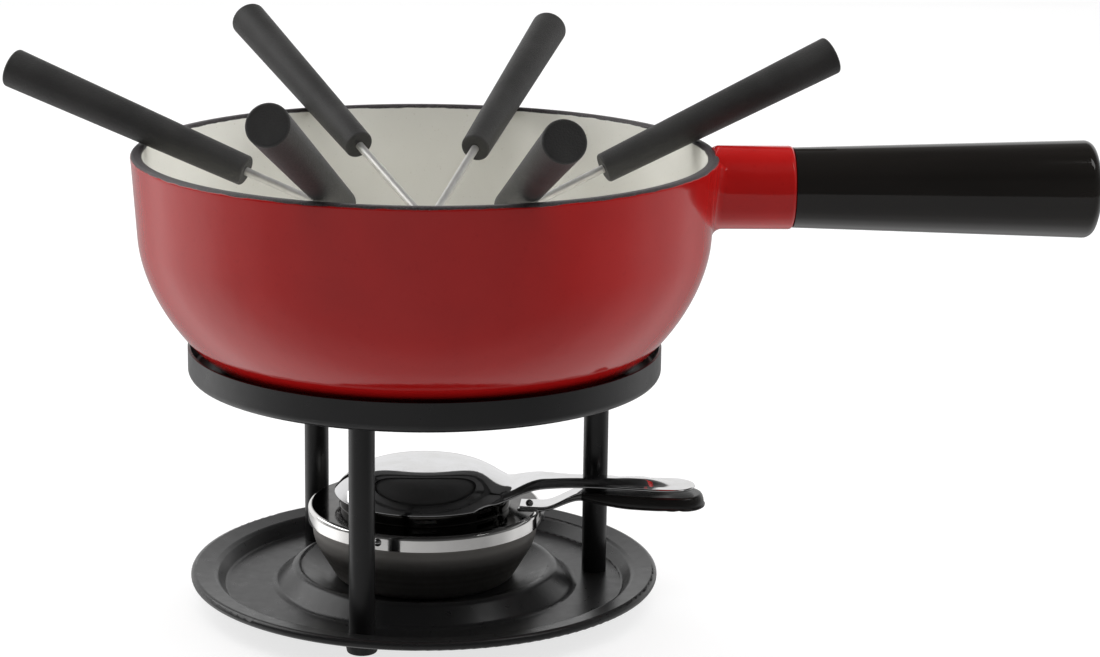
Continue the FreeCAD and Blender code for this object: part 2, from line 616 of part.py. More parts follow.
def fork_frame(rim_azimuth, tip_radius, tip_azimuth):
    """Placement of a fork that stands on the bowl and leans on the rim."""
    tip_radius = tip_radius * POT_RIM_R / FORKS_RIM_R
    surface_z, slope = bowl_surface(tip_radius)
    lift = (FORK_SHAFT_R + FORK_TIP_GAP) * math.hypot(1, slope)
    tip = polar(tip_radius, tip_azimuth, surface_z + lift)
    edge = polar(POT_RIM_R - POT_WALL + RIM_ROUND, rim_azimuth, POT_RIM_Z - RIM_ROUND)
    lean = edge
    for _ in range(6):
        along = (lean - tip).normalize()
        up = (Z - along * along.z).normalize()
        share = ((edge - tip).dot(along) - (FORK_LENGTH - FORK_GRIP_LENGTH)) / FORK_GRIP_LENGTH
        grip_r = FORK_GRIP_IN_R + (FORK_GRIP_OUT_R - FORK_GRIP_IN_R) * max(0.0, min(1.0, share))
        lean = edge + up * (grip_r + RIM_ROUND + FORK_RIM_GAP)
    along = (lean - tip).normalize()
    side = Z.cross(along).normalize()
    return FreeCAD.Placement(tip, FreeCAD.Rotation(side, along.cross(side), along, "ZXY"))


def fork_grip(frame):
    start = FORK_LENGTH - FORK_GRIP_LENGTH
    grip = Part.makeCone(FORK_GRIP_IN_R, FORK_GRIP_OUT_R, FORK_GRIP_LENGTH, vec(0, 0, start))
    ends = [e for e in grip.Edges if e.BoundBox.ZLength < 0.01]
    grip = grip.makeFillet(FORK_EDGE_ROUND, ends)
    grip = grip.cut(cylinder(FORK_SHAFT_R + FORK_BORE_GAP, FORK_SHAFT_IN_GRIP + CUT_PAST, vec(0, 0, start)))
    return grip.transformed(frame.toMatrix(), True)


def fork_prongs(frame):
    """Round shaft with a flat three-pronged head; the prongs lie side by side, level."""
    half = FORK_HEAD_WIDTH / 2
    gap = (FORK_HEAD_WIDTH - 3 * FORK_PRONG_W) / 2
    root = FORK_HEAD * FORK_SPLIT
    outline = [(-FORK_SHAFT_R, FORK_HEAD + FORK_NECK)]
    for i in range(3):
        x0 = -half + i * (FORK_PRONG_W + gap)
        x1 = x0 + FORK_PRONG_W
        foot_z = FORK_HEAD if i == 0 else root
        outline += [(x0, foot_z), (x0, FORK_POINT), ((x0 + x1) / 2, 0), (x1, FORK_POINT)]
        outline += [(x1, FORK_HEAD if i == 2 else root)]
    outline += [(FORK_SHAFT_R, FORK_HEAD + FORK_NECK)]
    corners = [vec(x, -FORK_THICK / 2, z) for x, z in outline]
    head = Part.Face(Part.makePolygon(corners + corners[:1])).extrude(vec(0, FORK_THICK, 0))
    shaft_end = FORK_LENGTH - FORK_GRIP_LENGTH + FORK_SHAFT_IN_GRIP
    shaft = cylinder(FORK_SHAFT_R, shaft_end - FORK_HEAD, vec(0, 0, FORK_HEAD))
    return head.fuse(shaft).removeSplitter().transformed(frame.toMatrix(), True)


def build():
    pieces = {
        "pot_body": pot_body(),
        "handle_stud": handle_stud(),
        "handle_insert": handle_insert(),
        "handle_grip": handle_grip(),
        "base_tray": base_tray(),
        "support_ring": support_ring(),
        "ring_screws": ring_screws(),
        "foot_screws": foot_screws(),
        "burner_bowl": burner_bowl(),
        "burner_pad": burner_pad(),
        "burner_mesh": burner_mesh(),
        "burner_top": burner_top(),
        "regulator_ring": regulator_ring(),
        "regulator_handle": regulator_handle(),
        "regulator_rivets": regulator_rivets(),
        "snuffer_lid": snuffer_lid(),
    }
    for name, place in post_places().items():
        pieces["post_" + name] = post(place)
        pieces["foot_" + name] = foot(place)
    for number, stance in FORKS.items():
        frame = fork_frame(*stance)
        pieces["fork_%d_grip" % number] = fork_grip(frame)
        pieces["fork_%d_prongs" % number] = fork_prongs(frame)
    return pieces


os.makedirs("parts", exist_ok=True)
for node, shape in build().items():
    if not shape.isValid():
        print("NOT VALID", node)
    print("%-18s solids %d volume %.0f" % (node, len(shape.Solids), shape.Volume))
    shape.exportStep("parts/%s.step" % node)
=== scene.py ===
import json
import math

import bpy
from mathutils import Matrix, Vector

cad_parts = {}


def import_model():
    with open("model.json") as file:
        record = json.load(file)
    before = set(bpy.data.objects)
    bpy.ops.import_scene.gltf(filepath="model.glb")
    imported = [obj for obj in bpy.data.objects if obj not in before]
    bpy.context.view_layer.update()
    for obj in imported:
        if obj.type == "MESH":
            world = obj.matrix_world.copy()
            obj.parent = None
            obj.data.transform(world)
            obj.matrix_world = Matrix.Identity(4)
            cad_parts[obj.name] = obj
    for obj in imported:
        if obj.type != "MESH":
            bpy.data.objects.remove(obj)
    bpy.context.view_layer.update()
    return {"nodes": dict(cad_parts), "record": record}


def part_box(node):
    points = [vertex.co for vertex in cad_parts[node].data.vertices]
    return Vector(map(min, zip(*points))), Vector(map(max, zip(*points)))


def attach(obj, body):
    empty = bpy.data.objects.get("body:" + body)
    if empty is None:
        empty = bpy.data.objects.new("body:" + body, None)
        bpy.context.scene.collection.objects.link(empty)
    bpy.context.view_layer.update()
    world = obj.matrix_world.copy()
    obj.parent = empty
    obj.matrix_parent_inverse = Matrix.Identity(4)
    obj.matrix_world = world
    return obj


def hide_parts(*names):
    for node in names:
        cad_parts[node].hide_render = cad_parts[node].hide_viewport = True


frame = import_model()
NODES = frame["nodes"]

# ------------------------------------------------------------------ places read from the frame
POT_LOW, POT_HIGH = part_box("pot_body")
GRIP_LOW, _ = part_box("handle_grip")
_, BAND_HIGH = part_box("regulator_ring")
_, REG_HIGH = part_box("regulator_handle")
LID_LOW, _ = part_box("snuffer_lid")

# ------------------------------------------------------------------ sizes, in metres
MM = 0.001
RIM_R = POT_HIGH.y
POT_BASE_Z = POT_LOW.z
POT_HEIGHT = 81.3 * MM
RIM_Z = POT_BASE_Z + POT_HEIGHT
WALL = 4.3 * MM
FLOOR_T = 5.0 * MM
STRAIGHT = 31.5 * MM            # depth of the nearly straight wall below the rim
TAPER = 2.1 * MM                # radius lost over that depth
BASE_R = RIM_R * 0.661
BELLY_PULL = 25.1 * MM          # how far the wall goes on straight before it turns in
BASE_PULL = 10.2 * MM           # how far it runs level before the base
RIM_ROUND = 1.5 * MM
INNER_EDGE = 1.1 * MM           # where the cream and the red enamel start below the rim plane
OUTER_EDGE = 0.8 * MM
ENAMEL_FADE = 0.28 * MM         # height over which the enamel thins out to the bare iron
BASE_SHADE = (20 * MM, 8 * MM)  # heights above the base over which the red deepens, a painted shade near the base

STUB_R = 15.8 * MM
STUB_Z = RIM_Z - 13.5 * MM      # height of its axis
STUB_END = GRIP_LOW.x
STUB_END_ROUND = 1.8 * MM
STUB_ROOT_ROUND = 4.5 * MM
LEAST_RISE = 0.01               # directions that rise more than this run up against the rim
ROOM_SHARE = 0.9                # a rounding takes up this much of the room there is
ROOT_LEAST = 0.3 * MM           # no rounded root where there is less room than this
WALL_STEP = 0.01 * MM           # the wall's slope is measured this far to either side
ROOT_OVER = 0.8 * MM            # how far the root's skirt runs on past its tangent
ROOT_SINK = 0.15 * MM           # and how far it sinks into the wall there
CROWN_LEAST = 0.05 * MM         # least rounding of the inner end, where it stands above the rim
CROWN_TAIL = 3.0 * MM           # how far the inner end then runs down

SHEET = 1.0 * MM
CUT_STEPS = 4                   # faces round a sheet's cut edge
SLOPE_STEP = 0.12 * MM          # a surface's slope is measured this far to either side
LEAST_WIDTH = 1e-6              # an outline's ends count as this wide

LID_AZIMUTH = -5.0
LID_R = 34.6 * MM
LID_DOME = 11.0 * MM            # height of the dome's top over its rim
LID_RIM_Z = LID_LOW.z
LID_FLATNESS = 4.6              # power of the dome's curve: flat on top, steep at the rim
LID_REACH = 103.5 * MM
LID_WIDTH = 16.0 * MM
LID_NECK = 11.0 * MM
LID_NECK_X = 62.0 * MM
LID_LEAVE_X = 21.0 * MM         # where the outline leaves the dome's circle
LID_LEAVE_PULL = 1.55           # how strongly it goes on along the circle's tangent
LID_FLOOR_Z = LID_RIM_Z + 4.4 * MM      # underside of the handle
LID_BLEND = (22 * MM, 46 * MM)  # where the dome runs out into the handle
LID_RIB = 2.1 * MM              # height of the handle's raised middle
LID_RIB_SIDE = 1.6 * MM         # width of the slope up to it
LID_FLANGE = (1.0 * MM, 4.2 * MM)       # flat edge beside it, at the neck and at the end
LID_FLANGE_X = (60 * MM, 94 * MM)
LID_FADE_X = (LID_REACH - 19 * MM, LID_REACH - 6 * MM)      # where the middle comes down again
# Rows of points across a pressed sheet, in millimetres in from its edge
LID_ROWS = (0, 0.25, 0.5, 0.75, 1.0, 1.3, 1.7, 2.4, 3.4, 5, 7, 9.5, 12.5, 16, 20, 24, 28, 32, 34.6)
REG_ROWS = (0, 0.03, 0.08, 0.16, 0.28, 0.45, 0.7, 1.0, 1.5, 2.2, 3.5, 5.0, 7.0, 10.0)

BAND_R = 45.0 * MM
BAND_EDGE = (1.6 * MM, 0.9 * MM)        # depths inside the band over which the painted shade turns to bright chrome
REG_AZIMUTH = -6.0
REG_REACH = 107.5 * MM
REG_WIDTH = 20.0 * MM
REG_NECK = 12.0 * MM
REG_NECK_X = BAND_R + 8 * MM
REG_TOP_Z = REG_HIGH.z
REG_FLANGE_Z = BAND_HIGH.z - 4.0 * MM
REG_TONGUE_X = 37.0 * MM        # where the tongue on the band's flange starts
REG_RAMP_END = 62 * MM          # the ramp up starts at the band and ends here
REG_SKIRT = (0.5 * MM, 3.9 * MM)        # depth of the turned edge at the neck and at the end
REG_SKIRT_X = (BAND_R + 3 * MM, 80 * MM)
REG_EDGE_ROUND = 1.5 * MM
COAT_X = 60.0 * MM              # where the handle's black coat starts
LUG_GAP = 0.3 * MM
LUG_HALF_WIDTH = 4 * MM
LUG_DEPTH = 4.8 * MM
PADDLE_START = 2 * MM           # a handle widens from this far past its neck
PADDLE_END = 4 * MM             # to this far before its round end

# ------------------------------------------------------------------ how finely shapes are divided
POT_AROUND = 288
WALL_STEPS = 48                 # along the wall's curve
STRAIGHT_STEPS = 8
RIM_STEPS = 8                   # over each rounding of the rim
BASE_SHARES = (0.0, 0.3, 0.6, 0.9)      # rings under the base, as shares of its radius
FLOOR_SHARES = (0.8, 0.5, 0.25, 0.0)    # and on the floor inside
STUB_AROUND = 216
STUB_STEPS = 9                  # over each rounding of the stub
STUB_END_SHARES = (0.0, 0.6, 0.85)
ROOT_ROUNDS = 6                 # rounds of fitting the root to the wall's slope
DOME_STEPS = 40
LID_STEPS = 24                  # along its neck, and again along its handle
LID_END_STEPS = 16
TONGUE_STEPS = 6
REG_STEPS = 40
REG_END_STEPS = 20


# ------------------------------------------------------------------ material graph helpers
class Graph:
    """One material's node graph, with short calls for the nodes used here."""

    def __init__(self, name, **values):
        self.material = bpy.data.materials.new(name)
        self.material.use_nodes = True
        self.tree = self.material.node_tree
        self.shader = self.tree.nodes["Principled BSDF"]
        for key, value in values.items():
            self.shader.inputs[key.replace("_", " ")].default_value = value

    def join(self, source, target):
        self.tree.links.new(source, target)

    def node(self, kind, **values):
        made = self.tree.nodes.new(kind)
        for key, value in values.items():
            setattr(made, key, value)
        return made

    def place(self, scale=(1, 1, 1)):
        """Coordinates in metres in the piece's own frame, stretched by scale."""
        coords = self.node("ShaderNodeTexCoord")
        mapping = self.node("ShaderNodeMapping")
        mapping.inputs["Scale"].default_value = scale
        self.join(coords.outputs["Object"], mapping.inputs["Vector"])
        return mapping.outputs["Vector"]

    def noise(self, scale, detail=2.0, rough=0.5, where=None, stretch=(1, 1, 1)):
        made = self.node("ShaderNodeTexNoise")
        made.inputs["Scale"].default_value = scale
        made.inputs["Detail"].default_value = detail
        made.inputs["Roughness"].default_value = rough
        self.join(where or self.place(stretch), made.inputs["Vector"])
        return made.outputs["Fac"]

    def remap(self, value, low, high, out_low, out_high):
        made = self.node("ShaderNodeMapRange")
        ends = {"From Min": low, "From Max": high, "To Min": out_low, "To Max": out_high}
        for key, number in ends.items():
            made.inputs[key].default_value = number
        self.join(value, made.inputs["Value"])
        return made.outputs["Result"]

    def between(self, noise, low, high):
        """A noise, which mostly lies between 0.3 and 0.7, brought to low..high."""
        return self.remap(noise, 0.3, 0.7, low, high)

    def math(self, operation, *values):
        made = self.node("ShaderNodeMath", operation=operation)
        for slot, value in zip(made.inputs, values):
            self.join(value, slot)
        return made.outputs[0]

    def mix(self, factor, first, second):
        """Mix of two colours; either may be a colour or a socket."""
        made = self.node("ShaderNodeMix", data_type="RGBA")
        self.join(factor, made.inputs["Factor"])
        for slot, value in ((made.inputs[6], first), (made.inputs[7], second)):
            if isinstance(value, tuple):
                slot.default_value = (*value, 1.0)
            else:
                self.join(value, slot)
        return made.outputs[2]

    def blend(self, noise, dark, light, low=0.3, high=0.7):
        """Two colours spread over a noise."""
        return self.mix(self.remap(noise, low, high, 0.0, 1.0), dark, light)

    def colour(self, source):
        self.join(source, self.shader.inputs["Base Color"])

    def roughness(self, source):
        self.join(source, self.shader.inputs["Roughness"])

    def bump(self, *layers):
        """Stacked bumps: each layer is (height socket, depth in metres)."""
        normal = None
        for height, depth in layers:
            made = self.node("ShaderNodeBump")
            made.inputs["Distance"].default_value = depth
            made.inputs["Strength"].default_value = 1.0
            self.join(height, made.inputs["Height"])
            if normal is not None:
                self.join(normal, made.inputs["Normal"])
            normal = made.outputs["Normal"]
        self.join(normal, self.shader.inputs["Normal"])

    def cylinder_place(self):
        """Radius and height about the vertical axis as coordinates, for rings left by spinning."""
        split = self.node("ShaderNodeSeparateXYZ")
        self.join(self.place(), split.inputs[0])
        x, y, z = split.outputs
        squares = self.math("ADD", self.math("MULTIPLY", x, x), self.math("MULTIPLY", y, y))
        radius = self.math("SQRT", squares)
        joined = self.node("ShaderNodeCombineXYZ")
        self.join(radius, joined.inputs[0])
        self.join(z, joined.inputs[2])
        return joined.outputs[0], radius, z

    def enamel_edge(self, inside):
        """0 on the bare rim, 1 where the enamel starts, with a slightly wandering edge."""
        _, _, z = self.cylinder_place()
        wander = self.between(self.noise(110.0, 3.0, 0.55), -0.25 * MM, 0.30 * MM)
        height = self.math("ADD", z, wander)
        start = RIM_Z - (INNER_EDGE if inside else OUTER_EDGE)
        return self.remap(height, start, start - ENAMEL_FADE, 0.0, 1.0)


# ------------------------------------------------------------------ materials
def red_tone(g):
    """Colour and roughness of the red enamel, with darker specks and a painted shade at the base, where the
    red turns deeper and purer.
    """
    _, _, z = g.cylinder_place()
    base = g.blend(g.noise(16.0, 4.0, 0.6), (0.405, 0.0085, 0.0080), (0.475, 0.0115, 0.0105))
    specks = g.remap(g.noise(420.0, 3.0, 0.6), 0.60, 0.75, 0.0, 0.35)
    base = g.mix(specks, base, (0.34, 0.004, 0.005))
    # painted shade: the red turns deeper and purer towards the base
    high, low = BASE_SHADE
    depth = g.remap(z, POT_BASE_Z + high, POT_BASE_Z + low, 0.0, 0.6)
    return g.mix(depth, base, (0.40, 0.004, 0.005)), g.between(g.noise(55.0, 4.0), 0.07, 0.12)


def cream_tone(g):
    """Colour and roughness of the cream enamel, with a few brown specks."""
    tone = g.blend(g.noise(25.0, 3.0), (0.80, 0.79, 0.735), (0.86, 0.85, 0.80))
    specks = g.remap(g.noise(900.0, 2.0), 0.68, 0.74, 0.0, 0.35)
    return g.mix(specks, tone, (0.58, 0.55, 0.47)), g.between(g.noise(50.0, 3.0), 0.16, 0.26)


def red_enamel():
    g = Graph("red_enamel", IOR=1.52)
    colour, rough = red_tone(g)
    g.colour(colour)
    g.roughness(rough)
    g.bump((g.noise(26.0, 3.0), 0.35 * MM), (g.noise(240.0, 2.0), 0.04 * MM))
    return g.material


def cream_enamel():
    g = Graph("cream_enamel", IOR=1.52)
    colour, rough = cream_tone(g)
    g.colour(colour)
    g.roughness(rough)
    g.bump((g.noise(32.0, 2.0), 0.30 * MM), (g.noise(200.0, 2.0), 0.05 * MM))
    return g.material


def rim_band(inside):
    """Bare cast iron of the rim, with the enamel's edge as a low bead along it."""
    g = Graph("rim_iron_inner" if inside else "rim_iron_outer", IOR=1.5)
    grain = g.noise(1300.0, 4.0, 0.65)
    iron = g.blend(grain, (0.020, 0.017, 0.018), (0.060, 0.053, 0.056), 0.35, 0.65)
    flecks = g.remap(g.noise(2400.0, 2.0), 0.64, 0.72, 0.0, 0.6)
    iron = g.mix(flecks, iron, (0.30, 0.28, 0.28))
    glaze, glaze_rough = cream_tone(g) if inside else red_tone(g)
    edge = g.enamel_edge(inside)
    g.colour(g.mix(edge, iron, glaze))
    rough = g.node("ShaderNodeMix", data_type="FLOAT")
    g.join(edge, rough.inputs["Factor"])
    g.join(g.between(grain, 0.38, 0.60), rough.inputs[2])
    g.join(glaze_rough, rough.inputs[3])
    g.roughness(rough.outputs[0])
    g.bump((g.noise(600.0, 3.0), 0.08 * MM), (grain, 0.05 * MM), (edge, 0.16 * MM))
    return g.material


def base_iron():
    g = Graph("base_iron", IOR=1.5)
    grain = g.noise(900.0, 4.0, 0.6)
    g.colour(g.blend(grain, (0.010, 0.010, 0.010), (0.026, 0.025, 0.025), 0.35, 0.65))
    g.roughness(g.between(grain, 0.45, 0.65))
    g.bump((grain, 0.08 * MM))
    return g.material


def grip_black():
    """Glossy moulded grip, streaked faintly along its length."""
    g = Graph("grip_black", IOR=1.50)
    streak = g.noise(30.0, 3.0, stretch=(0.25, 3.0, 3.0))
    g.colour(g.blend(streak, (0.0100, 0.0090, 0.0082), (0.0175, 0.0155, 0.0138)))
    g.roughness(g.between(g.noise(120.0, 3.0, stretch=(0.2, 1, 1)), 0.06, 0.11))
    g.bump((g.noise(60.0, 1.0, stretch=(0.4, 1, 1)), 0.10 * MM), (g.noise(900.0, 2.0), 0.01 * MM))
    return g.material


def stand_black():
    g = Graph("stand_black", IOR=1.5)
    g.colour(g.blend(g.noise(40.0, 4.0), (0.0100, 0.0100, 0.0105), (0.0130, 0.0128, 0.0130)))
    g.roughness(g.between(g.noise(260.0, 3.0), 0.27, 0.33))
    g.bump((g.noise(1500.0, 2.0), 0.01 * MM), (g.noise(60.0, 1.0), 0.04 * MM))
    return g.material


def foot_rubber():
    g = Graph("foot_rubber", IOR=1.45)
    g.colour(g.blend(g.noise(300.0, 3.0), (0.008, 0.008, 0.009), (0.018, 0.018, 0.018)))
    g.roughness(g.between(g.noise(500.0, 3.0), 0.6, 0.8))
    g.bump((g.noise(2200.0, 3.0), 0.05 * MM))
    return g.material


def bowl_steel():
    """Steel with the fine rings left by spinning."""
    g = Graph("bowl_steel", Metallic=1.0, Anisotropic=0.5)
    rings, _, _ = g.cylinder_place()
    fine = g.noise(2600.0, 3.0, 0.6, rings)
    broad = g.noise(220.0, 2.0, 0.5, rings)
    g.colour(g.blend(broad, (0.62, 0.595, 0.565), (0.74, 0.715, 0.685), 0.35, 0.65))
    g.roughness(g.between(fine, 0.50, 0.62))
    g.bump((fine, 0.012 * MM), (g.noise(60.0, 2.0), 0.08 * MM))
    return g.material


def chrome():
    g = Graph("chrome", Metallic=1.0)
    smudge = g.noise(90.0, 4.0, 0.6)
    g.colour(g.blend(smudge, (0.86, 0.86, 0.87), (0.78, 0.775, 0.77), 0.35))
    g.roughness(g.remap(smudge, 0.35, 0.75, 0.035, 0.10))
    g.bump((g.noise(55.0, 2.0), 0.06 * MM))
    return g.material


def burner_chrome():
    """Bright band outside; the sleeve and flange inside it carry a painted shade, coloured dark for the
    shade under the lid.
    """
    g = Graph("burner_chrome", Metallic=1.0)
    _, radius, _ = g.cylinder_place()
    dark_in, bright_in = BAND_EDGE
    bright = g.remap(radius, BAND_R - dark_in, BAND_R - bright_in, 0.0, 1.0)
    smudge = g.noise(90.0, 4.0, 0.6)
    unshaded_chrome = g.blend(smudge, (1.0, 0.985, 0.965), (0.94, 0.925, 0.91), 0.35)
    # painted shade: dark colour for the sleeve and flange in the lid's shade
    painted_shade = g.blend(g.noise(160.0, 3.0), (0.035, 0.033, 0.031), (0.09, 0.086, 0.082))
    g.colour(g.mix(bright, painted_shade, unshaded_chrome))
    g.roughness(g.remap(smudge, 0.35, 0.75, 0.06, 0.14))
    g.bump((g.noise(55.0, 2.0), 0.05 * MM))
    return g.material


def handle_coat():
    g = Graph("handle_coat", IOR=1.48)
    g.colour(g.blend(g.noise(70.0, 3.0), (0.0075, 0.0070, 0.0068), (0.012, 0.0112, 0.0105)))
    g.roughness(g.between(g.noise(140.0, 3.0), 0.16, 0.24))
    g.bump((g.noise(70.0, 1.0), 0.06 * MM))
    return g.material


def fork_black():
    """Matt grip with a fine spark-eroded grain."""
    g = Graph("fork_black", IOR=1.48)
    grain = g.noise(1700.0, 3.0, 0.6)
    g.colour(g.blend(g.noise(60.0, 3.0), (0.023, 0.0225, 0.022), (0.036, 0.035, 0.0342)))
    g.roughness(g.between(grain, 0.46, 0.62))
    g.bump((grain, 0.22 * MM), (g.noise(120.0, 1.0), 0.10 * MM))
    return g.material


def fork_steel():
    g = Graph("fork_steel", Metallic=0.7)
    lines = g.noise(240.0, 3.0)
    g.colour(g.blend(lines, (0.60, 0.59, 0.57), (0.70, 0.69, 0.67)))
    g.roughness(g.between(lines, 0.40, 0.46))
    return g.material


def plated(name, dark, light):
    g = Graph(name, Metallic=1.0)
    spots = g.noise(500.0, 4.0)
    g.colour(g.blend(spots, dark, light))
    g.roughness(g.between(spots, 0.25, 0.42))
    g.bump((g.noise(1500.0, 2.0), 0.01 * MM))
    return g.material


def fibre():
    g = Graph("pad_fibre", IOR=1.3)
    strands = g.noise(700.0, 5.0, 0.7, stretch=(1, 1, 3))
    g.colour(g.blend(strands, (0.62, 0.60, 0.54), (0.86, 0.84, 0.79), 0.35, 0.65))
    g.roughness(g.between(strands, 0.85, 0.97))
    g.bump((strands, 0.4 * MM))
    return g.material


MATERIALS = {
    "enamel": red_enamel(),
    "grip_black": grip_black(),
    "stand_black": stand_black(),
    "foot_rubber": foot_rubber(),
    "screw_steel": plated("screw_steel", (0.42, 0.42, 0.43), (0.58, 0.58, 0.58)),
    "stud_steel": plated("stud_steel", (0.45, 0.45, 0.46), (0.60, 0.60, 0.60)),
    "insert_brass": plated("insert_brass", (0.62, 0.45, 0.18), (0.80, 0.62, 0.28)),
    "bowl_steel": bowl_steel(),
    "chrome": chrome(),
    "pad_fibre": fibre(),
    "mesh_steel": plated("mesh_steel", (0.42, 0.41, 0.39), (0.60, 0.59, 0.56)),
    "fork_grip": fork_black(),
    "fork_steel": fork_steel(),
}
POT_MATERIALS = [base_iron(), MATERIALS["enamel"], rim_band(False), rim_band(True), cream_enamel()]
IRON, RED, OUTER_RIM, INNER_RIM, CREAM = range(len(POT_MATERIALS))


def dress_cad_nodes():
    """Every carried-over CAD node gets the material of its slot; the burner's top has its own."""
    # the band and the burner's top get chrome with a painted shade inside the band
    shade_painted_chrome = burner_chrome()
    special = {"regulator_ring": shade_painted_chrome, "burner_top": shade_painted_chrome}
    for entry in frame["record"]["subparts"]:
        mesh = NODES[entry["node"]].data
        if not mesh.materials:
            mesh.materials.append(None)
        for index in range(len(mesh.materials)):
            mesh.materials[index] = special.get(entry["node"], MATERIALS[entry["material_slot"]])


# ------------------------------------------------------------------ pieces built here
def add_piece(name, points, faces, materials, body, nodes, indices=None, crease=40.0):
    """A smooth-shaded mesh that rides on a body and stands for CAD nodes."""
    mesh = bpy.data.meshes.new(name)
    mesh.from_pydata([tuple(p) for p in points], [], faces)
    for material in materials:
        mesh.materials.append(material)
    if indices:
        mesh.polygons.foreach_set("material_index", indices)
    mesh.shade_smooth()
    mesh.set_sharp_from_angle(angle=math.radians(crease))
    made = bpy.data.objects.new(name, mesh)
    bpy.context.scene.collection.objects.link(made)
    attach(made, body)
    if nodes:
        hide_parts(*nodes)


def cubic(poles, share):
    keep = 1 - share
    weights = (keep ** 3, 3 * keep * keep * share, 3 * keep * share * share, share ** 3)
    return tuple(sum(w * p[i] for w, p in zip(weights, poles)) for i in (0, 1))


def hermite(x, x0, x1, y0, y1, m0, m1):
    """Curve from (x0, y0) with slope m0 to (x1, y1) with slope m1."""
    span = x1 - x0
    t = (x - x0) / span
    return ((2 * t ** 3 - 3 * t * t + 1) * y0 + (t ** 3 - 2 * t * t + t) * span * m0
            + (3 * t * t - 2 * t ** 3) * y1 + (t ** 3 - t * t) * span * m1)


def smooth(value, low, high):
    """0 up to low, 1 from high, easing between them."""
    share = min(max((value - low) / (high - low), 0.0), 1.0)
    return share * share * (3 - 2 * share)


def quarter(steps):
    """Angles over a quarter turn."""
    return [math.pi / 2 * i / steps for i in range(steps + 1)]


def even(first, last, count):
    """Even places from first up to, but not including, last."""
    return [first + (last - first) * i / count for i in range(count)]


# ---- pot
def wall_line(inset, rise):
    """The pot's wall from the straight part down to the floor, as (radius, height) points."""
    top = (RIM_R - TAPER - inset, RIM_Z - STRAIGHT)
    length = math.hypot(TAPER, STRAIGHT)
    pull = (top[0] - TAPER / length * BELLY_PULL, top[1] - STRAIGHT / length * BELLY_PULL)
    base = (BASE_R - rise / 2, POT_BASE_Z + rise)
    poles = [top, pull, (base[0] + BASE_PULL, base[1]), base]
    return [cubic(poles, i / WALL_STEPS) for i in range(WALL_STEPS + 1)]


def outer_radius(z):
    return RIM_R - TAPER * (RIM_Z - z) / STRAIGHT


def pot_profile():
    """Half-section of the pot, from the base's middle over the rim to the floor's middle.

    Each point is (radius, height, material of the stretch after it).
    """
    straight = [RIM_Z - STRAIGHT * k / STRAIGHT_STEPS for k in range(1, STRAIGHT_STEPS)]
    turns = quarter(RIM_STEPS)
    line = [(BASE_R * share, POT_BASE_Z, IRON) for share in BASE_SHARES]
    line += [(r, z, RED) for r, z in reversed(wall_line(0, 0))]
    line += [(outer_radius(z), z, RED) for z in reversed(straight)]
    for turn in turns:
        drop = RIM_ROUND * (1 - math.sin(turn))
        line.append((RIM_R - RIM_ROUND * (1 - math.cos(turn)), RIM_Z - drop, OUTER_RIM))
    line.append((RIM_R - WALL / 2, RIM_Z, INNER_RIM))
    for turn in reversed(turns):
        drop = RIM_ROUND * (1 - math.sin(turn))
        material = INNER_RIM if turn > 0 else CREAM
        line.append((RIM_R - WALL + RIM_ROUND * (1 - math.cos(turn)), RIM_Z - drop, material))
    line += [(outer_radius(z) - WALL, z, CREAM) for z in straight]
    line += [(r, z, CREAM) for r, z in wall_line(WALL, FLOOR_T)]
    return line + [(BASE_R * share, POT_BASE_Z + FLOOR_T, CREAM) for share in FLOOR_SHARES]


def pot():
    """The profile turned about the pot's axis."""
    line = pot_profile()
    points, rings = [], []
    for radius, z, _ in line:
        if radius == 0.0:
            rings.append([len(points)] * POT_AROUND)
            points.append((0.0, 0.0, z))
            continue
        rings.append(list(range(len(points), len(points) + POT_AROUND)))
        for k in range(POT_AROUND):
            angle = 2 * math.pi * k / POT_AROUND
            points.append((radius * math.cos(angle), radius * math.sin(angle), z))
    faces, indices = [], []
    for low, high, stretch in zip(rings, rings[1:], line):
        for k in range(POT_AROUND):
            after = (k + 1) % POT_AROUND
            corners = [low[k], low[after], high[after], high[k]]
            faces.append([c for i, c in enumerate(corners) if c not in corners[:i]])
            indices.append(stretch[2])
    add_piece("pot_bowl", points, faces, POT_MATERIALS, "pot", ["pot_body"], indices)


def stub_root(side, rise, room, last_x):
    """Points of the stub's rounded root, which runs out into the wall, at one angle round it."""
    def wall_x(rho):
        radius = outer_radius(min(STUB_Z + rho * rise, RIM_Z - RIM_ROUND))
        return math.sqrt(radius ** 2 - (rho * side) ** 2)

    root = min(STUB_ROOT_ROUND, room * ROOM_SHARE)
    rho = STUB_R + root
    for _ in range(ROOT_ROUNDS):
        slope = (wall_x(rho + WALL_STEP) - wall_x(rho - WALL_STEP)) / (2 * WALL_STEP)
        rho = STUB_R + root + root * slope / math.hypot(1, slope)
    centre = wall_x(rho) + root / math.hypot(1, slope)
    row = [((last_x + centre) / 2, STUB_R)]
    for i in range(STUB_STEPS + 1):
        turn = -math.pi / 2 - (math.pi / 2 + math.atan(slope)) * i / STUB_STEPS
        row.append((centre + root * math.cos(turn), STUB_R + root + root * math.sin(turn)))
    row.append((wall_x(rho + ROOT_OVER) - ROOT_SINK, rho + ROOT_OVER))
    return row


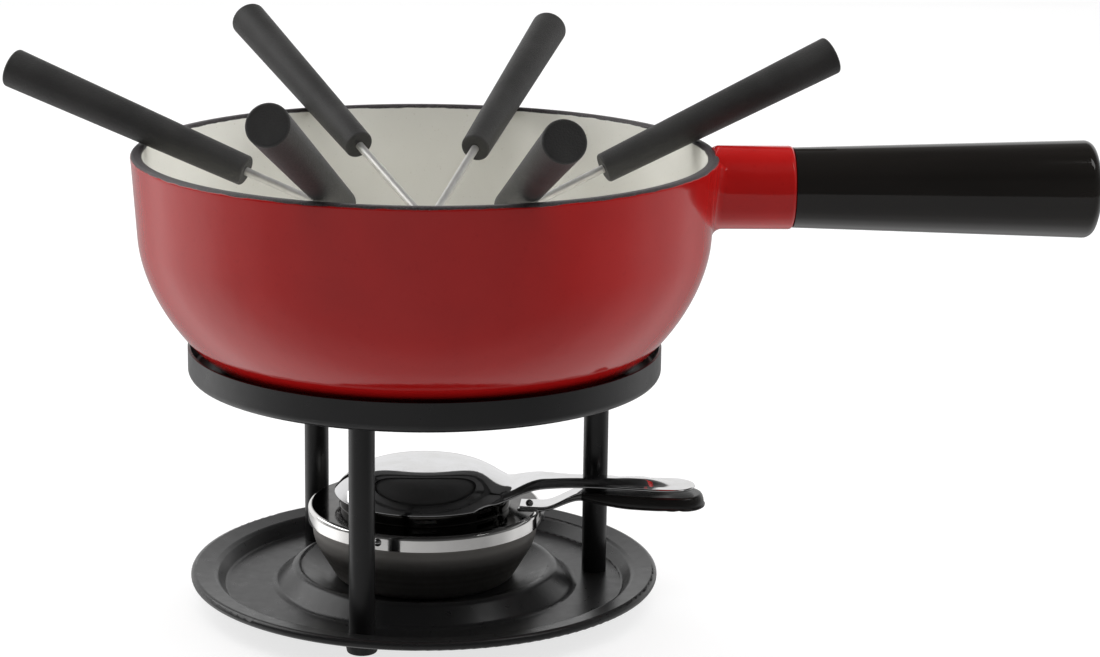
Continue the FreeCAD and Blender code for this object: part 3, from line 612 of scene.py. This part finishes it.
def stub_crown(side, rise, last_x, turns):
    """Points of the stub's inner end where it stands above the rim, at one angle round it."""
    top = STUB_Z + STUB_R * rise
    above = min(max(top - (RIM_Z - RIM_ROUND), 0.0), RIM_ROUND)
    radius = RIM_R - RIM_ROUND + math.sqrt(RIM_ROUND ** 2 - above ** 2)
    crown = max(min(STUB_END_ROUND, (top - RIM_Z) * ROOM_SHARE), CROWN_LEAST)
    inner = math.sqrt(radius ** 2 - (STUB_R * side) ** 2)
    row = [((last_x + inner + crown) / 2, STUB_R)]
    for turn in turns:
        row.append((inner + crown * (1 - math.sin(turn)), STUB_R - crown * (1 - math.cos(turn))))
    row.append((inner, STUB_R - crown - CROWN_TAIL))
    return row


def stub():
    """The cast stub of the handle, rounded into the wall below the rim and over it above."""
    turns = quarter(STUB_STEPS)
    points, rows, faces = [], [], []
    for k in range(STUB_AROUND):
        angle = 2 * math.pi * k / STUB_AROUND
        side, rise = math.cos(angle), math.sin(angle)
        row = [(STUB_END, STUB_R * share) for share in STUB_END_SHARES]
        for turn in turns:
            rho = STUB_R - STUB_END_ROUND * (1 - math.sin(turn))
            row.append((STUB_END - STUB_END_ROUND * (1 - math.cos(turn)), rho))
        room = STUB_ROOT_ROUND
        if rise > LEAST_RISE:
            room = (RIM_Z - STUB_Z - RIM_ROUND) / rise - STUB_R
        if room > ROOT_LEAST:
            row += stub_root(side, rise, room, row[-1][0])
        else:
            row += stub_crown(side, rise, row[-1][0], turns)
        rows.append(list(range(len(points), len(points) + len(row))))
        points += [(x, rho * side, STUB_Z + rho * rise) for x, rho in row]
    for k, row in enumerate(rows):
        after = rows[(k + 1) % STUB_AROUND]
        faces += [[row[i], row[i + 1], after[i + 1], after[i]] for i in range(len(row) - 1)]
    add_piece("handle_stub", points, faces, [MATERIALS["enamel"]], "pot", [])


# ---- pressed sheet
def sheet_rows(xs, half_width, height, insets):
    """Points and normals of a sheet's upper side: a row across it at each place in xs."""
    outline = [(x, half_width(x)) for x in xs]

    def edge_distance(x, y):
        best = math.inf
        for (ax, aw), (bx, bw) in zip(outline, outline[1:]):
            dx, dw = bx - ax, bw - aw
            share = min(max(((x - ax) * dx + (abs(y) - aw) * dw) / (dx * dx + dw * dw), 0.0), 1.0)
            best = min(best, math.hypot(x - ax - dx * share, abs(y) - aw - dw * share))
        return best

    def surface(x, y):
        return Vector((x, y, height(x, y, edge_distance(x, y))))

    def normal(x, y):
        across = surface(x, y + SLOPE_STEP) - surface(x, y - SLOPE_STEP)
        along = surface(x + SLOPE_STEP, y) - surface(x - SLOPE_STEP, y)
        return along.cross(across).normalized()

    rows, normals = [], []
    for x, width in outline:
        width = max(width, LEAST_WIDTH)
        half = [(1.0 - min(inset * MM / width, 1.0)) * width for inset in insets]
        places = [-y for y in half] + half[::-1]
        rows.append([surface(x, y) for y in places])
        normals.append([normal(x, y) for y in places])
    return rows, normals


def pressed(name, xs, half_width, height, insets, azimuth, body, node, coat=None, coat_x=math.inf):
    """Sheet pressed to a height over a plan outline along +X, with rounded cut edges.

    xs run from one end of the outline to the other; insets are distances in from the edge, in
    millimetres. A coat covers what lies beyond coat_x.
    """
    rows, normals = sheet_rows(xs, half_width, height, insets)
    count = len(rows[0])
    points, faces = [], []

    def add(point):
        points.append(point)
        return len(points) - 1

    top = [[add(p) for p in row] for row in rows]
    low = [[add(p - n * SHEET) for p, n in zip(row, ns)] for row, ns in zip(rows, normals)]
    for i in range(len(rows) - 1):
        for j in range(count - 1):
            faces.append([top[i][j], top[i + 1][j], top[i + 1][j + 1], top[i][j + 1]])
            faces.append([low[i][j + 1], low[i + 1][j + 1], low[i + 1][j], low[i][j]])
    loop = [(i, 0) for i in range(len(rows))] + [(i, count - 1) for i in range(len(rows) - 2, 0, -1)]
    edge = [rows[i][j] for i, j in loop]
    chains = []
    for k, (i, j) in enumerate(loop):
        along = edge[(k + 1) % len(loop)] - edge[k - 1]
        normal = normals[i][j]
        out = along.cross(normal).normalized()
        middle = edge[k] - normal * SHEET / 2
        chain = [top[i][j]]
        for part in range(1, CUT_STEPS):
            turn = math.pi * part / CUT_STEPS
            chain.append(add(middle + (normal * math.cos(turn) + out * math.sin(turn)) * SHEET / 2))
        chains.append(chain + [low[i][j]])
    for k, chain in enumerate(chains):
        after = chains[(k + 1) % len(chains)]
        for part in range(CUT_STEPS):
            faces.append([chain[part], chain[part + 1], after[part + 1], after[part]])
    indices = [int(min(points[corner].x for corner in face) >= coat_x) for face in faces]
    turn = Matrix.Rotation(math.radians(azimuth), 4, "Z")
    points = [turn @ p for p in points]
    materials = [MATERIALS["chrome"]] + ([coat] if coat else [])
    add_piece(name, points, faces, materials, body, [node], indices, crease=60.0)


def handle_half_width(x, neck_x, neck, width, reach):
    """Half width of a paddle: narrow neck, slowly wider, round end."""
    end = reach - width / 2
    if x > end:
        return math.sqrt(max((width / 2) ** 2 - (x - end) ** 2, 0.0))
    return neck / 2 + (width - neck) / 2 * smooth(x, neck_x + PADDLE_START, end - PADDLE_END)


def round_end(reach, width, steps):
    """Places along a paddle's round end, closer together towards its tip."""
    return [reach - width / 2 * (1 - math.sin(turn)) for turn in quarter(steps)]


def lid():
    """The snuffer's lid: a dome that runs out into a handle with a raised middle."""
    leave_w = math.sqrt(LID_R ** 2 - LID_LEAVE_X ** 2)
    leave_slope = -LID_LEAVE_X / leave_w * LID_LEAVE_PULL

    def half_width(x):
        if x < LID_LEAVE_X:
            return math.sqrt(max(LID_R ** 2 - x * x, 0.0))
        if x < LID_NECK_X:
            return hermite(x, LID_LEAVE_X, LID_NECK_X, leave_w, LID_NECK / 2, leave_slope, 0.0)
        return handle_half_width(x, LID_NECK_X, LID_NECK, LID_WIDTH, LID_REACH)

    def height(x, y, inside):
        share = min(math.hypot(x, y) / LID_R, 1.0)
        dome = LID_RIM_Z + SHEET + (LID_DOME - SHEET) * (1.0 - share ** LID_FLATNESS)
        narrow, wide = LID_FLANGE
        flange = narrow + (wide - narrow) * smooth(x, *LID_FLANGE_X)
        rib = LID_RIB * (1.0 - smooth(x, *LID_FADE_X)) * smooth(inside, flange, flange + LID_RIB_SIDE)
        handle = LID_FLOOR_Z + SHEET + rib
        return dome + (handle - dome) * smooth(x, *LID_BLEND)

    turns = even(0.0, math.pi, DOME_STEPS)
    xs = [-LID_R + (LID_LEAVE_X + LID_R) * (1 - math.cos(turn)) / 2 for turn in turns]
    xs += even(LID_LEAVE_X, LID_NECK_X, LID_STEPS)
    xs += even(LID_NECK_X, LID_REACH - LID_WIDTH / 2, LID_STEPS)
    xs += round_end(LID_REACH, LID_WIDTH, LID_END_STEPS)
    pressed("lid_pressing", xs, half_width, height, LID_ROWS, LID_AZIMUTH, "lid", "snuffer_lid")


def regulator_handle():
    """Tongue on the ring's flange, a ramp up, and a paddle with its edges turned down."""
    low_z = REG_FLANGE_Z + SHEET

    def half_width(x):
        return handle_half_width(x, REG_NECK_X, REG_NECK, REG_WIDTH, REG_REACH)

    def height(x, y, inside):
        ramp = low_z + (REG_TOP_Z - low_z) * smooth(x, BAND_R, REG_RAMP_END)
        shallow, deep = REG_SKIRT
        skirt = shallow + (deep - shallow) * smooth(x, *REG_SKIRT_X)
        in_from_edge = 1.0 - min(inside / REG_EDGE_ROUND, 1.0)
        return ramp - skirt * (1.0 - math.sqrt(max(1.0 - in_from_edge ** 2, 0.0)))

    xs = even(REG_TONGUE_X, BAND_R, TONGUE_STEPS)
    xs += even(BAND_R, REG_REACH - REG_WIDTH / 2, REG_STEPS)
    xs += round_end(REG_REACH, REG_WIDTH, REG_END_STEPS)
    pressed("regulator_pressing", xs, half_width, height, REG_ROWS, REG_AZIMUTH, "regulator",
            "regulator_handle", handle_coat(), COAT_X)


def regulator_lug():
    """Bar bent down from the regulator's handle over the outside of the band."""
    places = [(x, y, z) for x in (BAND_R + LUG_GAP, BAND_R + LUG_GAP + SHEET)
              for y in (-LUG_HALF_WIDTH, LUG_HALF_WIDTH)
              for z in (REG_FLANGE_Z - LUG_DEPTH, REG_FLANGE_Z + SHEET)]
    turn = Matrix.Rotation(math.radians(REG_AZIMUTH), 4, "Z")
    points = [turn @ Vector(place) for place in places]
    faces = [(0, 1, 3, 2), (4, 6, 7, 5), (0, 4, 5, 1), (2, 3, 7, 6), (0, 2, 6, 4), (1, 5, 7, 3)]
    add_piece("regulator_lug", points, faces, [MATERIALS["chrome"]], "regulator", [])


# ------------------------------------------------------------------ room, light and camera
FLOOR_HALF = 6.0
FLOOR_FRONT = -0.125            # the table's near edge
SET_MIDDLE = (0.02, 0, 0.12)    # the lamps point here

# Levels over a direction's component from -1 to 1, as (component, level)
HORIZON = ((-1.0, 1.0), (-0.165, 1.0), (-0.125, 0.0), (1.0, 0.0))       # over Z: 1 is table
TABLE_LEVEL = ((-1.0, 0.44), (-0.5, 0.44), (-0.2, 0.62), (0.2, 1.05),   # over Y, front to back
               (0.55, 1.10), (0.82, 0.52), (1.0, 0.55))
ABOVE_SIDES = ((-1.0, 0.03), (-0.45, 0.04), (0.0, 0.10), (0.35, 0.25), (0.75, 0.80), (1.0, 0.84))
WALL_TOP = ((-1.0, 1.0), (0.42, 1.0), (0.60, 0.12), (1.0, 0.05))        # over Z, the wall's top
TABLE_MEAN = 0.80
TABLE_LEAN = 0.27               # the table is brighter to the left
DARK_LEVEL = 0.02
BACKDROP_LEVEL = 1.05           # what the camera sees behind the set

CAMERA_DISTANCE = 1.0584        # in front of the pot's axis
CAMERA_HEIGHT = 0.3642
CAMERA_YAW = 2.566              # degrees, to the right
CAMERA_PITCH = 13.653           # degrees, down
CAMERA_ROLL = 0.783             # degrees
CAMERA_LENS = 93.61


def floor():
    """White table top. Reflections see the room's own table instead, which darkens to the front."""
    mesh = bpy.data.meshes.new("floor")
    sides = (-FLOOR_HALF, FLOOR_HALF)
    corners = [(x, FLOOR_FRONT, 0) for x in sides] + [(x, 2 * FLOOR_HALF, 0) for x in reversed(sides)]
    mesh.from_pydata(corners, [], [(0, 1, 2, 3)])
    made = bpy.data.objects.new("floor", mesh)
    bpy.context.scene.collection.objects.link(made)
    made.visible_glossy = False
    g = Graph("floor_white", Roughness=0.8, Emission_Color=(1.0, 1.0, 1.0, 1.0), Emission_Strength=0.74)
    g.colour(g.mix(g.noise(3.0, 2.0), (0.29, 0.29, 0.29), (0.31, 0.31, 0.31)))
    mesh.materials.append(g.material)


def area(name, place, size, power, seen=True):
    """A soft panel; one that isn't seen lights the set without showing in its reflections."""
    data = bpy.data.lights.new(name, "AREA")
    data.shape = "RECTANGLE"
    data.size, data.size_y = size
    data.energy = power
    made = bpy.data.objects.new(name, data)
    bpy.context.scene.collection.objects.link(made)
    made.visible_glossy = seen
    made.visible_camera = False
    made.location = place
    made.rotation_euler = (Vector(SET_MIDDLE) - Vector(place)).to_track_quat("-Z", "Y").to_euler()


def lights():
    area("panel_left", (-1.05, 0.45, 1.0), (1.2, 0.9), 7.5)
    area("side_left", (-1.2, -0.1, 0.5), (0.9, 0.7), 3.5, seen=False)
    area("panel_right", (1.25, 0.10, 0.75), (1.1, 0.9), 9.0, seen=False)
    area("strip_right", (0.72, -0.26, 1.15), (0.25, 0.55), 1.0)
    area("table_glow", (0.0, -0.60, -0.15), (1.6, 0.5), 1.1, seen=False)
    area("sky", (0.0, 1.35, 1.9), (3.2, 1.9), 40, seen=False)
    area("fill", (0.1, -0.75, 1.9), (1.6, 1.0), 14, seen=False)


def world():
    """White backdrop behind up to a height, a grey table around, and dark above and in front."""
    room = bpy.data.worlds.new("room")
    room.use_nodes = True
    tree = room.node_tree
    background = tree.nodes["Background"]

    def curve(source, stops):
        """Level over -1..1 of a direction's component, easing between the stops."""
        shifted = tree.nodes.new("ShaderNodeMapRange")
        for key, value in {"From Min": -1.0, "From Max": 1.0, "To Min": 0.0, "To Max": 1.0}.items():
            shifted.inputs[key].default_value = value
        tree.links.new(source, shifted.inputs["Value"])
        ramp = tree.nodes.new("ShaderNodeValToRGB")
        ramp.color_ramp.interpolation = "EASE"
        points = ramp.color_ramp.elements
        while len(points) < len(stops):
            points.new(0.5)
        for point, (place, level) in zip(points, stops):
            point.position = (place + 1) / 2
            point.color = (level, level, level, 1.0)
        tree.links.new(shifted.outputs[0], ramp.inputs[0])
        return ramp.outputs["Color"]

    def combine(operation, first, second):
        """A math node on two sockets or numbers."""
        made = tree.nodes.new("ShaderNodeMath")
        made.operation = operation
        for slot, value in zip(made.inputs, (first, second)):
            if isinstance(value, float):
                slot.default_value = value
            else:
                tree.links.new(value, slot)
        return made.outputs[0]

    coords = tree.nodes.new("ShaderNodeTexCoord")
    split = tree.nodes.new("ShaderNodeSeparateXYZ")
    tree.links.new(coords.outputs["Generated"], split.inputs[0])
    x, y, z = split.outputs
    lean = combine("SUBTRACT", TABLE_MEAN, combine("MULTIPLY", x, TABLE_LEAN))
    table = combine("MULTIPLY", curve(y, TABLE_LEVEL), lean)
    wall = combine("MULTIPLY", curve(y, ABOVE_SIDES), curve(z, WALL_TOP))
    above = combine("ADD", wall, DARK_LEVEL)
    below_share = curve(z, HORIZON)
    above_share = combine("SUBTRACT", 1.0, below_share)
    mixed = combine("ADD", combine("MULTIPLY", table, below_share), combine("MULTIPLY", above, above_share))
    rays = tree.nodes.new("ShaderNodeLightPath")
    backdrop = combine("MULTIPLY", rays.outputs["Is Camera Ray"], BACKDROP_LEVEL)
    tree.links.new(combine("MAXIMUM", mixed, backdrop), background.inputs["Strength"])
    background.inputs["Color"].default_value = (1.0, 1.0, 1.0, 1.0)
    bpy.context.scene.world = room


def camera():
    data = bpy.data.cameras.new("camera")
    data.lens = CAMERA_LENS
    data.sensor_width = 36.0
    made = bpy.data.objects.new("camera", data)
    bpy.context.scene.collection.objects.link(made)
    yaw, pitch, roll = (math.radians(v) for v in (CAMERA_YAW, CAMERA_PITCH, CAMERA_ROLL))
    ahead = Vector((math.sin(yaw) * math.cos(pitch), math.cos(yaw) * math.cos(pitch), -math.sin(pitch)))
    level_right = ahead.cross(Vector((0, 0, 1))).normalized()
    level_up = level_right.cross(ahead)
    right = level_right * math.cos(roll) + level_up * math.sin(roll)
    up = level_up * math.cos(roll) - level_right * math.sin(roll)
    made.matrix_world = Matrix((
        (right.x, up.x, -ahead.x, 0.0),
        (right.y, up.y, -ahead.y, -CAMERA_DISTANCE),
        (right.z, up.z, -ahead.z, CAMERA_HEIGHT),
        (0, 0, 0, 1),
    ))
    bpy.context.scene.camera = made


dress_cad_nodes()
pot()
stub()
lid()
regulator_handle()
regulator_lug()
floor()
lights()
world()
camera()
bpy.context.scene.view_settings.view_transform = "Standard"
